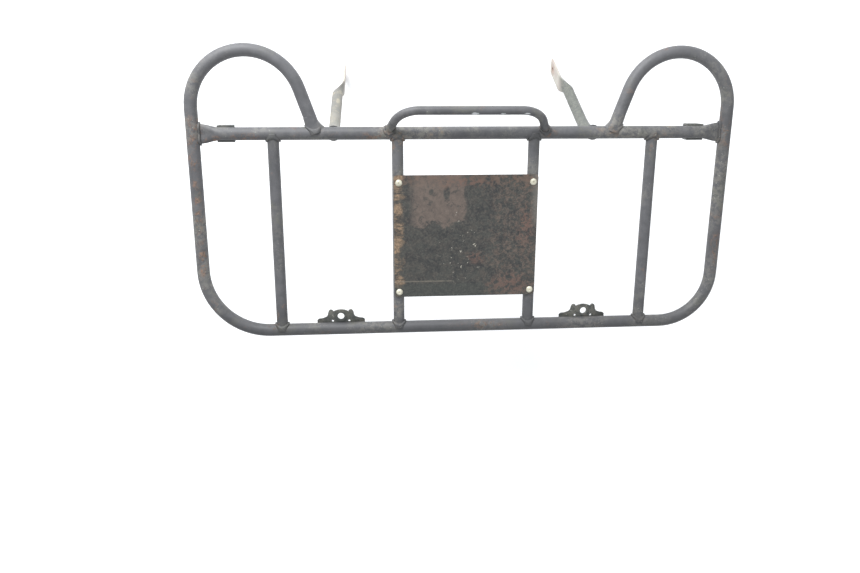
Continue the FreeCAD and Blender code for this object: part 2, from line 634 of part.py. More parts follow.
# ------------------------------------------------------------ centre plate
plate_body = doc.addObject("PartDesign::Body", "centre_plate_body")
sk = plate_body.newObject("Sketcher::SketchObject", "plate_outline")
sk.AttachmentSupport = [(plane_of(plate_body, "XY_Plane"), "")]
sk.MapMode = "FlatFace"
bind(sk, "AttachmentOffset.Base.z", "Dimensions.bar_od / 2")
ph, lo, hi, pc = D["plate_half"], D["plate_low"], D["plate_high"], D["plate_corner"]
z = Vector(0, 0, 1)
g = [
    Part.LineSegment(Vector(-ph + pc, lo, 0), Vector(ph - pc, lo, 0)),
    Part.ArcOfCircle(Part.Circle(Vector(ph - pc, lo + pc, 0), z, pc), 1.5 * math.pi, 2 * math.pi),
    Part.LineSegment(Vector(ph, lo + pc, 0), Vector(ph, hi - pc, 0)),
    Part.ArcOfCircle(Part.Circle(Vector(ph - pc, hi - pc, 0), z, pc), 0, 0.5 * math.pi),
    Part.LineSegment(Vector(ph - pc, hi, 0), Vector(-ph + pc, hi, 0)),
    Part.ArcOfCircle(Part.Circle(Vector(-ph + pc, hi - pc, 0), z, pc), 0.5 * math.pi, math.pi),
    Part.LineSegment(Vector(-ph, hi - pc, 0), Vector(-ph, lo + pc, 0)),
    Part.ArcOfCircle(Part.Circle(Vector(-ph + pc, lo + pc, 0), z, pc), math.pi, 1.5 * math.pi),
]
sk.addGeometry(g, False)
C = Sketcher.Constraint
for a_, pa, b_, pb in ((0, 2, 1, 1), (1, 2, 2, 1), (2, 2, 3, 1), (3, 2, 4, 1),
                       (4, 2, 5, 1), (5, 2, 6, 1), (6, 2, 7, 1), (7, 2, 0, 1)):
    sk.addConstraint(C("Tangent", a_, pa, b_, pb))
sk.addConstraint(C("Horizontal", 0))
sk.addConstraint(C("Vertical", 2))
sk.addConstraint(C("Horizontal", 4))
sk.addConstraint(C("Vertical", 6))
for k, i in enumerate((1, 3, 5, 7)):
    size(sk, "round_%d" % k, "Dimensions.plate_corner", "Radius", i, pc)
size(sk, "low", "Dimensions.plate_low", "DistanceY", -1, 1, 0, 1, lo)
size(sk, "high", "Dimensions.plate_high", "DistanceY", -1, 1, 4, 1, hi)
size(sk, "wide_r", "Dimensions.plate_half", "DistanceX", -1, 1, 2, 1, ph)
size(sk, "wide_l", "Dimensions.plate_half", "DistanceX", 6, 1, -1, 1, ph)
pad = plate_body.newObject("PartDesign::Pad", "plate_pad")
pad.Profile = sk
bind(pad, "Length", "Dimensions.plate_sheet")
plate_body.Tip = pad
doc.recompute()
drills, heads = [], []
for s, side in SIDES:
    for y in ("rivet_low", "rivet_high"):
        nm = "%s_%s" % (side, y)
        at = ("%d * Dimensions.rivet_x" % s, "Dimensions." + y, "0")
        drills.append(rod("plate_drill_" + nm, "Dimensions.rivet_shank / 2", "20", at, "Z"))
finished(cut("centre_plate_cut", plate_body, fuse("plate_drills", *drills)), "centre_plate")

# ------------------------------------------------------------------ rivets
# Blind rivets: a domed head on the plate, a shank through the plate and the
# crossbar's top wall, and the blind side spread inside the crossbar.
for s, side in SIDES:
    for y, word in (("rivet_low", "low"), ("rivet_high", "high")):
        r_s, r_h, dome = D["rivet_shank"] / 2, D["rivet_head"] / 2, D["rivet_dome"]
        z_top = D["bar_od"] / 2 + D["plate_sheet"]
        # underside of the top wall, level enough over the shank's width
        z_in = math.sqrt((D["bar_od"] / 2 - D["bar_wall"]) ** 2 - (D["rivet_bulb"] / 2 + abs(D["inner_bar_x"] - D["rivet_x"])) ** 2)
        b = D["rivet_bulb"] / 2
        prof = [
            Part.LineSegment(Vector(0, 0, z_in - 5.0), Vector(b - 0.8, 0, z_in - 5.0)).toShape(),
            Part.Arc(Vector(b - 0.8, 0, z_in - 5.0), Vector(b, 0, z_in - 2.4), Vector(b - 0.5, 0, z_in - 0.05)).toShape(),
            Part.LineSegment(Vector(b - 0.5, 0, z_in - 0.05), Vector(r_s, 0, z_in - 0.05)).toShape(),
            Part.LineSegment(Vector(r_s, 0, z_in - 0.05), Vector(r_s, 0, z_top)).toShape(),
            Part.LineSegment(Vector(r_s, 0, z_top), Vector(r_h, 0, z_top)).toShape(),
            Part.LineSegment(Vector(r_h, 0, z_top), Vector(r_h, 0, z_top + 0.5)).toShape(),
            Part.Arc(Vector(r_h, 0, z_top + 0.5), Vector(r_h * 0.72, 0, z_top + dome * 0.78), Vector(1.5, 0, z_top + dome)).toShape(),
            Part.LineSegment(Vector(1.5, 0, z_top + dome), Vector(1.2, 0, z_top + dome - 0.9)).toShape(),
            Part.LineSegment(Vector(1.2, 0, z_top + dome - 0.9), Vector(0, 0, z_top + dome - 0.9)).toShape(),
            Part.LineSegment(Vector(0, 0, z_top + dome - 0.9), Vector(0, 0, z_in - 5.0)).toShape(),
        ]
        f = Part.Face(Part.Wire(prof)).revolve(Vector(), Vector(0, 0, 1), 360)
        rv = solid_feature("rivet_%s_%s_solid" % (side, word), f)
        rv.Placement = Placement(Vector(s * D["rivet_x"], D[y], 0), Rotation())
        heads.append(rv)
rivets = doc.addObject("Part::Compound", "rivet_set")
rivets.Links = heads
finished(rivets, "plate_rivets")

# ------------------------------------------------------------------- welds
# Each fillet is the band within one bead's leg of both surfaces, outside both.


def fillet(name, a_band, b_band, a_skin, b_skin):
    return cut(name + "_1", cut(name + "_0", common(name + "_band", a_band, b_band), a_skin), b_skin)


def oblique(name, radius, length, start, direction):
    c = doc.addObject("Part::Cylinder", name)
    bind(c, "Radius", radius)
    c.Height = length
    c.Placement = Placement(start, Rotation(Vector(0, 0, 1), direction))
    return c


band_outer = rod("band_outer_rail", "Dimensions.rail_od / 2 + Dimensions.bead", far,
                 ("-Dimensions.side_x", "0", "0"), "X")
band_inner = rod("band_inner_rail", "Dimensions.rail_od / 2 + Dimensions.bead", "%s - 2 * Dimensions.flat_len" % far,
                 ("-Dimensions.side_x + Dimensions.flat_len", "Dimensions.rail_y", "0"), "X")
cross = []
for s, side in SIDES:
    for which, x in (("outer", "outer_bar_x"), ("inner", "inner_bar_x")):
        n = "weld_%s_%s" % (which, side)
        for end, rail_band, rail_env, lo_y in (("low", band_outer, env_outer, "0"),
                                               ("high", band_inner, env_inner, "Dimensions.rail_y - 20")):
            at = ("%d * Dimensions.%s" % (s, x), lo_y, "0")
            sk_ = rod("%s_%s_skin" % (n, end), "Dimensions.bar_od / 2", "20", at, "Y")
            bd_ = rod("%s_%s_band" % (n, end), "Dimensions.bar_od / 2 + Dimensions.bead", "20", at, "Y")
            cross.append(fillet("%s_%s" % (n, end), bd_, rail_band, sk_, rail_env))
crossbar_welds = doc.addObject("Part::Compound", "crossbar_weld_set")
crossbar_welds.Links = cross
finished(crossbar_welds, "crossbar_welds")

rt, tang = perimeter_path.tangent
ears = []
for s, side in SIDES:
    top_pt = Vector(s * rt.x, rt.y, 0)
    foot = Vector(s * D["foot_x"], D["rail_y"], 0)
    d = (foot - top_pt)
    ln = d.Length
    d.normalize()
    st = foot - d * 30
    skn = oblique("ear_skin_" + side, "Dimensions.rail_od / 2", 30, st, d)
    bnd = oblique("ear_band_" + side, "Dimensions.rail_od / 2 + Dimensions.bead", 30, st, d)
    ears.append(fillet("ear_weld_" + side, bnd, band_inner, skn, env_inner))
ear_welds = doc.addObject("Part::Compound", "ear_weld_set")
ear_welds.Links = ears
finished(ear_welds, "ear_welds")

leg_t, _ = grip_path.leg
grips = []
for s, side in SIDES:
    a_pt = lift.multVec(Vector(s * leg_t.x, leg_t.y, 0)) + Vector(D["grip_mid"], D["rail_y"], 0)
    foot = Vector(s * D["grip_foot_x"] + D["grip_mid"], D["rail_y"], 0)
    d = foot - a_pt
    d.normalize()
    st = foot - d * 24
    skn = oblique("grip_skin_" + side, "Dimensions.grip_od / 2", 24, st, d)
    bnd = oblique("grip_band_" + side, "Dimensions.grip_od / 2 + Dimensions.bead", 24, st, d)
    grips.append(fillet("grip_weld_" + side, bnd, band_inner, skn, env_inner))
grip_welds = doc.addObject("Part::Compound", "grip_weld_set")
grip_welds.Links = grips
finished(grip_welds, "handle_welds")

stays = []
for s, side in SIDES:
    at = ("%d * Dimensions.stay_x + Dimensions.stay_skew" % s, "Dimensions.rail_y", "-20")
    skn = rod("stay_skin_" + side, "Dimensions.bar_od / 2", "20", at, "Z")
    bnd = rod("stay_band_" + side, "Dimensions.bar_od / 2 + Dimensions.bead", "20", at, "Z")
    stays.append(fillet("stay_weld_" + side, bnd, band_inner, skn, env_inner))
stay_welds = doc.addObject("Part::Compound", "stay_weld_set")
stay_welds.Links = stays
finished(stay_welds, "stay_welds")

# fillets round the rail's flattened ends, against the side tubes
ends = []
for s, side in SIDES:
    w0 = dented_ring(0, 1.0, D["rail_od"] + 2 * D["bead"], D["rail_wall"], False,
                     D["flat_high"] + 2 * D["bead"], D["flat_thick"] + 2.6 * D["bead"])
    long = Part.Face(w0).extrude(Vector(s * 30, 0, 0))
    f = solid_feature("end_band_" + side, long)
    f.Placement = Placement(Vector(s * (D["side_x"] - 30), D["rail_y"], 0), Rotation())
    ring = rod("end_ring_" + side, "Dimensions.rail_od / 2 + Dimensions.bead", "120",
               ("%d * Dimensions.side_x" % s, "Dimensions.rail_y - 60", "0"), "Y")
    ends.append(fillet("end_weld_" + side, f, ring, rail_skin, env_side[s]))
rail_end_welds = doc.addObject("Part::Compound", "end_weld_set")
rail_end_welds.Links = ends
finished(rail_end_welds, "rail_end_welds")

# ------------------------------------------------------------------- output
doc.recompute()
bad = [o.Name for o in doc.Objects if "Invalid" in o.State or "Error" in o.State]
if bad:
    raise SystemExit("objects in error: " + ", ".join(bad))
os.makedirs("parts", exist_ok=True)
for name, obj in parts:
    sh = obj.Shape
    if sh.isNull() or not sh.isValid() or not sh.Solids:
        raise SystemExit("bad shape: " + name)
for name, obj in parts:
    obj.Shape.exportStep("parts/%s.step" % name)
    bb = obj.Shape.BoundBox
    print("%-24s solids %2d vol %9.1f  x %8.2f %8.2f  y %8.2f %8.2f  z %8.2f %8.2f" % (
        name, len(obj.Shape.Solids), obj.Shape.Volume, bb.XMin, bb.XMax, bb.YMin, bb.YMax, bb.ZMin, bb.ZMax))
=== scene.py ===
import json
import math
import random

import bmesh
import bpy
from mathutils import Matrix, Vector


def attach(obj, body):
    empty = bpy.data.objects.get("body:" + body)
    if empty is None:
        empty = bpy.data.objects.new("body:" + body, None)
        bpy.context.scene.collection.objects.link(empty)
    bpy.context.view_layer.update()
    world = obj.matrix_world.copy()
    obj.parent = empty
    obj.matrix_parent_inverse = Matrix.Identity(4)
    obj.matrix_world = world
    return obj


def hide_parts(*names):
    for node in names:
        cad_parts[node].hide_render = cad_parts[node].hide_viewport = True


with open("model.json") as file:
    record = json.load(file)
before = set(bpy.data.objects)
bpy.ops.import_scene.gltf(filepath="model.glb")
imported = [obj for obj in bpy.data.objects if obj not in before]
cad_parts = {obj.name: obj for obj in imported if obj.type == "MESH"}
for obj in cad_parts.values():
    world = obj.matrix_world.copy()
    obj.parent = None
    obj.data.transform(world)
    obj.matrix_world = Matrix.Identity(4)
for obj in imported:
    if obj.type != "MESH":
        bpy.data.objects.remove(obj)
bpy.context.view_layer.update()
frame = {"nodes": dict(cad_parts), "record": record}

nodes = frame["nodes"]
random.seed(7)

# ------------------------------------------------------------------ helpers


class Graph:
    """A small hand on a material's node tree."""

    def __init__(self, name):
        self.mat = bpy.data.materials.new(name)
        self.mat.use_nodes = True
        self.t = self.mat.node_tree
        self.t.nodes.clear()
        self.out = self.t.nodes.new("ShaderNodeOutputMaterial")
        self.bsdf = self.t.nodes.new("ShaderNodeBsdfPrincipled")
        self.t.links.new(self.bsdf.outputs[0], self.out.inputs[0])
        self.co = self.t.nodes.new("ShaderNodeTexCoord").outputs["Object"]

    def link(self, a, b):
        self.t.links.new(a, b)

    def noise(self, scale, detail=6.0, rough=0.6, dist=0.0, vec=None, stretch=None):
        v = vec or self.co
        if stretch:
            m = self.t.nodes.new("ShaderNodeMapping")
            m.inputs["Scale"].default_value = stretch
            self.link(v, m.inputs["Vector"])
            v = m.outputs[0]
        n = self.t.nodes.new("ShaderNodeTexNoise")
        n.inputs["Scale"].default_value = scale
        n.inputs["Detail"].default_value = detail
        n.inputs["Roughness"].default_value = rough
        n.inputs["Distortion"].default_value = dist
        self.link(v, n.inputs["Vector"])
        return n.outputs[0]

    def ramp(self, x, lo, hi, a=0.0, b=1.0):
        """Smooth step of x between lo and hi."""
        n = self.t.nodes.new("ShaderNodeMapRange")
        n.interpolation_type = "SMOOTHSTEP"
        n.inputs["From Min"].default_value = lo
        n.inputs["From Max"].default_value = hi
        n.inputs["To Min"].default_value = a
        n.inputs["To Max"].default_value = b
        self.link(x, n.inputs["Value"])
        return n.outputs[0]

    def math(self, op, a, b=None, c=None):
        n = self.t.nodes.new("ShaderNodeMath")
        n.operation = op
        for i, v in enumerate((a, b, c)):
            if v is None:
                continue
            if isinstance(v, (int, float)):
                n.inputs[i].default_value = v
            else:
                self.link(v, n.inputs[i])
        return n.outputs[0]

    def mix(self, f, a, b):
        n = self.t.nodes.new("ShaderNodeMix")
        n.data_type = "RGBA"
        self.link(f, n.inputs[0])
        for v, s in ((a, n.inputs[6]), (b, n.inputs[7])):
            if isinstance(v, tuple):
                s.default_value = (*v, 1.0)
            else:
                self.link(v, s)
        return n.outputs[2]

    def xyz(self):
        n = self.t.nodes.new("ShaderNodeSeparateXYZ")
        self.link(self.co, n.inputs[0])
        return n.outputs

    def spot(self, centre, radius, soft=0.5, squeeze=(1, 1, 1), jag=0.0, jag_scale=60.0):
        """1 near a point, 0 beyond the radius, with a ragged edge."""
        m = self.t.nodes.new("ShaderNodeVectorMath")
        m.operation = "SUBTRACT"
        self.link(self.co, m.inputs[0])
        m.inputs[1].default_value = centre
        s = self.t.nodes.new("ShaderNodeVectorMath")
        s.operation = "MULTIPLY"
        self.link(m.outputs[0], s.inputs[0])
        s.inputs[1].default_value = tuple(1.0 / (radius * k) for k in squeeze)
        l = self.t.nodes.new("ShaderNodeVectorMath")
        l.operation = "LENGTH"
        self.link(s.outputs[0], l.inputs[0])
        d = l.outputs["Value"]
        if jag:
            n = self.noise(jag_scale, 5.0, 0.65)
            d = self.math("ADD", d, self.math("MULTIPLY", self.math("SUBTRACT", n, 0.5), jag))
        return self.ramp(d, 1.0 - soft, 1.0, 1.0, 0.0)

    def most(self, *vals):
        r = vals[0]
        for v in vals[1:]:
            r = self.math("MAXIMUM", r, v)
        return r

    def bump(self, *layers):
        """Layers of (height, distance in metres, strength)."""
        last = None
        for h, dist, st in layers:
            b = self.t.nodes.new("ShaderNodeBump")
            b.inputs["Distance"].default_value = dist
            b.inputs["Strength"].default_value = st
            self.link(h, b.inputs["Height"])
            if last is not None:
                self.link(last, b.inputs["Normal"])
            last = b.outputs[0]
        self.link(last, self.bsdf.inputs["Normal"])

    def finish(self, color, rough, metallic=None):
        self.link(color, self.bsdf.inputs["Base Color"])
        if isinstance(rough, float):
            self.bsdf.inputs["Roughness"].default_value = rough
        else:
            self.link(rough, self.bsdf.inputs["Roughness"])
        if metallic is not None:
            if isinstance(metallic, float):
                self.bsdf.inputs["Metallic"].default_value = metallic
            else:
                self.link(metallic, self.bsdf.inputs["Metallic"])
        return self.mat


def srgb(r, g, b):
    def f(c):
        c /= 255.0
        return c / 12.92 if c <= 0.04045 else ((c + 0.055) / 1.055) ** 2.4
    return (f(r), f(g), f(b))


DZ = 0.21838      # height of the tube centrelines
BY = -0.2105      # outer rail's centreline along Y


def deck(u, v, n=0.0):
    return (u / 1000.0, v / 1000.0 + BY, n / 1000.0 + DZ)


# ---------------------------------------------------------------- materials
def tube_material(name, base, dust, rust_amount, spots):
    g = Graph(name)
    big = g.noise(9.0, 4.0, 0.55, 0.4)
    mid = g.noise(46.0, 7.0, 0.66, 0.3)
    small = g.noise(130.0, 7.0, 0.72, 0.3)
    fine = g.noise(300.0, 6.0, 0.75)
    grain = g.noise(1100.0, 3.0, 0.6)
    # faded paint: dark where it is whole, grey where it has chalked
    c = g.mix(g.ramp(mid, 0.34, 0.66), tuple(k * 0.84 for k in base), tuple(k * 1.16 for k in base))
    c = g.mix(g.math("MULTIPLY", g.ramp(small, 0.46, 0.62), 0.20), c, tuple(k * 1.6 for k in base))
    # olive and grey beige film, in patches
    film = g.math("MULTIPLY", g.ramp(big, 0.44, 0.60), g.ramp(small, 0.40, 0.58))
    c = g.mix(g.math("MULTIPLY", film, 0.50), c, dust)
    olive = g.math("MULTIPLY", g.ramp(g.noise(24.0, 5.0, 0.6, 0.5), 0.54, 0.66), g.ramp(fine, 0.40, 0.60))
    c = g.mix(g.math("MULTIPLY", olive, 0.45), c, srgb(98, 98, 82))
    # brown staining, broken up small
    stain = g.math("MULTIPLY", g.ramp(g.noise(21.0, 6.0, 0.70, 0.8), 0.55, 0.66), g.ramp(small, 0.45, 0.58))
    stain = g.math("MULTIPLY", stain, rust_amount)
    if spots:
        masks = [g.spot(p, r, 0.8, sq, 1.2, 60.0) for p, r, sq in spots]
        local = g.math("MULTIPLY", g.most(*masks), g.ramp(g.noise(110.0, 8.0, 0.74, 0.6), 0.47, 0.58))
        stain = g.most(stain, local)
    rust_c = g.mix(g.ramp(fine, 0.38, 0.62), srgb(86, 72, 62), srgb(142, 112, 92))
    c = g.mix(g.math("MULTIPLY", stain, 0.72), c, rust_c)
    # painted shade and painted light: darker along the outer rail and at the right end, lighter towards the inner edge
    # and ears, as the light falls across the rack
    x, y, z = g.xyz()
    c = g.mix(g.ramp(y, -0.212, -0.150, 0.42, 0.0), c, tuple(k * 0.42 for k in base))
    # painted shade at the right end
    c = g.mix(g.ramp(x, 0.300, 0.410, 0.0, 0.22), c, tuple(k * 0.42 for k in base))
    # painted light on the ears along the inner edge
    c = g.mix(g.ramp(y, 0.100, 0.200, 0.0, 0.24), c, tuple(k * 1.9 for k in base))
    # pinhead bright rust, and small pale chips
    hot = g.math("MULTIPLY", g.ramp(g.noise(170.0, 5.0, 0.7, 0.3), 0.60, 0.66), stain)
    c = g.mix(g.math("MULTIPLY", hot, 0.60), c, srgb(150, 92, 64))
    chips = g.math("MULTIPLY", g.ramp(g.noise(430.0, 2.0, 0.5), 0.68, 0.73), g.ramp(big, 0.42, 0.56))
    c = g.mix(g.math("MULTIPLY", chips, 0.60), c, srgb(178, 178, 168))
    if spots:
        worn = g.most(*[g.spot((u, 0.1225, 0.2655), r, 0.35, (1.7, 0.7, 1.0), 1.1, 260.0)
                        for u, r in ((0.0064, 0.0040), (0.0471, 0.0030), (0.0822, 0.0034))])
        c = g.mix(g.math("MULTIPLY", worn, 0.85), c, srgb(206, 208, 210))
    rough = g.math("ADD", g.ramp(mid, 0.3, 0.7, 0.50, 0.64), g.math("MULTIPLY", stain, 0.25))
    g.bump((stain, 0.0004, 0.6), (small, 0.0003, 0.35), (fine, 0.0002, 0.40), (grain, 0.00006, 0.35))
    return g.finish(c, rough, 0.0)


rust_places = [
    (deck(-402, 305, 5), 0.026, (0.8, 1.1, 1)),
    (deck(-372, 297, 6), 0.014, (1.2, 0.5, 1)),
    (deck(-328, 300, 8), 0.020, (1.4, 0.4, 1)),
    (deck(-140, 299, 8), 0.022, (1.3, 0.45, 1)),
    (deck(-119, 306, 6), 0.016, (1, 1, 1)),
    (deck(122, 306, 6), 0.016, (1, 1, 1)),
    (deck(-401, 262, 8), 0.020, (0.4, 1.3, 1)),
    (deck(-401, 205, 8), 0.050, (0.16, 1.6, 1)),
    (deck(-399, 120, 8), 0.040, (0.2, 1.3, 1)),
    (deck(403, 300, 5), 0.022, (0.7, 1.2, 1)),
    (deck(401, 120, 8), 0.035, (0.25, 1.4, 1)),
    (deck(30, 3, 8), 0.040, (1.5, 0.2, 1)),
]
tube_mat = tube_material("tube_paint", srgb(80, 80, 82), srgb(132, 129, 120), 0.70, rust_places)
weld_mat = tube_material("weld_paint", srgb(72, 72, 73), srgb(112, 106, 97), 0.90, [])
bracket_mat = tube_material("bracket_paint", srgb(66, 68, 66), srgb(130, 126, 116), 0.45, [])


def stay_material():
    g = Graph("stay_zinc")
    big = g.noise(14.0, 4.0, 0.55, 0.5)
    mid = g.noise(60.0, 7.0, 0.6, 0.3)
    fine = g.noise(340.0, 5.0, 0.65)
    streak = g.noise(40.0, 5.0, 0.6, 0.2, stretch=(5.0, 1.0, 0.7))
    c = g.mix(g.ramp(big, 0.38, 0.64), srgb(112, 111, 106), srgb(142, 138, 128))
    c = g.mix(g.math("MULTIPLY", g.ramp(mid, 0.50, 0.68), 0.55), c, srgb(168, 160, 140))
    c = g.mix(g.math("MULTIPLY", g.ramp(streak, 0.56, 0.70), 0.50), c, srgb(118, 120, 112))
    x, y, z = g.xyz()
    grey = g.math("MULTIPLY", g.ramp(x, -0.05, 0.05), g.ramp(mid, 0.30, 0.56, 0.65, 1.0))
    c = g.mix(g.math("MULTIPLY", grey, 0.92), c, g.mix(g.ramp(fine, 0.38, 0.62), srgb(78, 82, 80), srgb(104, 106, 98)))
    # the pressed ends are paler, with brown rust round the holes
    low = g.ramp(z, 0.052, 0.076, 1.0, 0.0)
    c = g.mix(g.math("MULTIPLY", low, 0.70), c, g.mix(g.ramp(mid, 0.40, 0.60), srgb(182, 170, 160), srgb(196, 192, 182)))
    holes = g.most(*[g.spot(p, 0.013, 0.7, (1, 1, 1.2), 0.8, 150.0) for p in
                     ((-0.182914, 0.175414, 0.018503), (0.178219, 0.185361, 0.017364))])
    rim = g.math("MULTIPLY", holes, g.ramp(fine, 0.34, 0.56))
    c = g.mix(g.math("MULTIPLY", rim, 0.85), c, srgb(150, 118, 104))
    rough = g.ramp(mid, 0.3, 0.7, 0.42, 0.62)
    g.bump((fine, 0.00018, 0.3), (streak, 0.00030, 0.3))
    return g.finish(c, rough, 0.15)


def plate_material():
    g = Graph("plate_paint")
    x, y, z = g.xyz()
    big = g.noise(11.0, 5.0, 0.6, 0.5)
    mid = g.noise(40.0, 9.0, 0.72, 0.5)
    fleck = g.noise(150.0, 9.0, 0.80, 0.3)
    speck = g.noise(330.0, 6.0, 0.78)
    fine = g.noise(700.0, 5.0, 0.7)

    def off(n, k):
        return g.math("MULTIPLY", g.math("SUBTRACT", n, 0.5), k)

    xw = g.math("ADD", x, g.math("ADD", off(mid, 0.045), off(fleck, 0.030)))
    yw = g.math("ADD", y, g.math("ADD", off(g.noise(23.0, 6.0, 0.65, 0.4), 0.055), off(fleck, 0.030)))
    # dark paint, bluish black to green grey
    c = g.mix(g.ramp(mid, 0.36, 0.62), srgb(34, 36, 38), srgb(55, 56, 53))
    c = g.mix(g.math("MULTIPLY", g.ramp(speck, 0.44, 0.62), 0.55), c, srgb(80, 78, 72))
    # brown flecking, dense on the right, sparse in the middle
    right = g.ramp(xw, 0.018, 0.062, 0.22, 1.0)
    flecks = g.math("MULTIPLY", right, g.ramp(fleck, 0.46, 0.56))
    flecks = g.math("MULTIPLY", flecks, g.ramp(mid, 0.34, 0.54, 0.35, 1.0))
    c = g.mix(g.math("MULTIPLY", flecks, 0.62), c, g.mix(g.ramp(speck, 0.4, 0.6), srgb(84, 70, 62), srgb(108, 92, 82)))
    # worn smooth area, inner left quadrant, with its ragged outline
    worn = g.math("MULTIPLY", g.ramp(xw, 0.002, -0.006, 0.0, 1.0), g.ramp(yw, -0.046, -0.038, 0.0, 1.0))
    worn = g.math("MULTIPLY", worn, g.ramp(x, -0.092, -0.072))
    tongue = g.spot((-0.012, -0.018, 0.229), 0.016, 0.25, (0.9, 1.5, 1), 0.25, 70.0)
    worn = g.most(worn, tongue)
    pits = g.ramp(g.noise(95.0, 6.0, 0.66, 0.4), 0.575, 0.625)
    holes = g.most(g.spot((-0.030, 0.004, 0.229), 0.0075, 0.3, (0.8, 1.7, 1), 0.6, 160.0),
                   g.spot((0.000, 0.004, 0.229), 0.0065, 0.3, (0.7, 1.3, 1), 0.6, 160.0),
                   g.spot((-0.054, 0.006, 0.229), 0.0055, 0.4, (0.9, 1.0, 1), 0.8, 160.0))
    worn = g.math("MULTIPLY", worn, g.math("SUBTRACT", 1.0, g.most(g.math("MULTIPLY", pits, 0.60), g.math("MULTIPLY", holes, 0.9))))
    worn_c = g.mix(g.ramp(fleck, 0.38, 0.62), srgb(84, 74, 68), srgb(100, 88, 80))
    c = g.mix(g.math("MULTIPLY", worn, 0.90), c, worn_c)
    # brown along the inner edge
    top = g.math("MULTIPLY", g.ramp(yw, 0.006, 0.026), g.ramp(fleck, 0.42, 0.56))
    c = g.mix(g.math("MULTIPLY", top, 0.55), c, srgb(100, 80, 68))
    # orange brown band down the left edge, in tongues
    band = g.math("MULTIPLY", g.ramp(g.math("ADD", x, off(mid, 0.050)), -0.104, -0.094, 1.0, 0.0), g.ramp(g.noise(58.0, 8.0, 0.75, 0.4, stretch=(0.5, 1.6, 1.0)), 0.42, 0.56, 0.10, 1.0))
    c = g.mix(g.math("MULTIPLY", band, 0.92), c, g.mix(g.ramp(speck, 0.4, 0.6), srgb(102, 86, 70), srgb(146, 122, 97)))
    # pale right edge, red brown patches
    edge = g.math("MULTIPLY", g.ramp(x, 0.097, 0.109), g.ramp(yw, -0.070, -0.030))
    c = g.mix(g.math("MULTIPLY", edge, 0.50), c, srgb(112, 108, 102))
    for p, r, sq in (((0.070, -0.142, 0.229), 0.050, (1.0, 0.5, 1)), ((0.016, -0.096, 0.229), 0.024, (1.1, 0.6, 1)),
                     ((0.092, -0.050, 0.229), 0.040, (0.5, 1.2, 1)), ((0.0, 0.020, 0.229), 0.034, (1.6, 0.3, 1))):
        m = g.math("MULTIPLY", g.spot(p, r, 0.85, sq, 1.1, 60.0), g.ramp(fleck, 0.44, 0.56))
        c = g.mix(g.math("MULTIPLY", m, 0.62), c, srgb(104, 78, 68))
    # strip along the outer edge, with a thin pale line above it
    strip = g.math("MULTIPLY", g.ramp(y, -0.140, -0.1355, 1.0, 0.0), g.ramp(xw, 0.0, 0.045, 1.0, 0.25))
    c = g.mix(g.math("MULTIPLY", strip, 0.72), c, g.mix(g.ramp(speck, 0.4, 0.6), srgb(50, 53, 50), srgb(64, 66, 62)))
    line = g.math("MULTIPLY", g.math("MULTIPLY", g.ramp(y, -0.1350, -0.1342), g.ramp(y, -0.1328, -0.1320, 1.0, 0.0)),
                  g.math("MULTIPLY", g.ramp(x, -0.030, -0.010, 1.0, 0.0), g.ramp(fleck, 0.38, 0.56, 0.25, 1.0)))
    c = g.mix(g.math("MULTIPLY", line, 0.50), c, srgb(118, 112, 100))
    # bright nicks in the middle
    zone = g.spot((-0.008, -0.075, 0.229), 0.075, 0.5, (0.55, 1.0, 1), 0.4, 30.0)
    nick = g.math("MULTIPLY", g.ramp(g.noise(165.0, 3.0, 0.55, 0.8), 0.655, 0.69), zone)
    c = g.mix(g.math("MULTIPLY", nick, 0.85), c, srgb(180, 174, 160))
    rough = g.math("ADD", g.ramp(mid, 0.3, 0.7, 0.46, 0.60), g.math("MULTIPLY", worn, 0.10))
    g.bump((mid, 0.0005, 0.35), (fleck, 0.0004, 0.50), (fine, 0.00015, 0.40))
    return g.finish(c, rough, 0.0)


def rivet_material():
    g = Graph("rivet_alloy")
    a, b = g.noise(160.0, 5.0, 0.6), g.noise(700.0, 4.0, 0.6)
    c = g.mix(g.ramp(a, 0.35, 0.65), srgb(176, 172, 154), srgb(212, 208, 190))
    c = g.mix(g.math("MULTIPLY", g.ramp(b, 0.60, 0.70), 0.5), c, srgb(128, 118, 100))
    g.bump((a, 0.0002, 0.4), (b, 0.00008, 0.4))
    return g.finish(c, g.ramp(a, 0.3, 0.7, 0.42, 0.60), 0.25)


mats = {"tube_paint": tube_mat, "weld_paint": weld_mat, "bracket_paint": bracket_mat,
        "stay_zinc": stay_material(), "plate_paint": plate_material(), "rivet_alloy": rivet_material()}

SLOTS = {}
for entry in frame["record"]["subparts"]:
    SLOTS[entry["node"]] = entry["material_slot"]
for name, obj in nodes.items():
    m = mats[SLOTS[name]]
    if obj.data.materials:
        for i in range(len(obj.data.materials)):
            obj.data.materials[i] = m
    else:
        obj.data.materials.append(m)

# -------------------------------------------------------------------- welds
# Hand-laid beads: the frame's fillets, made finer and raised in ripples.
from mathutils import noise as mnoise


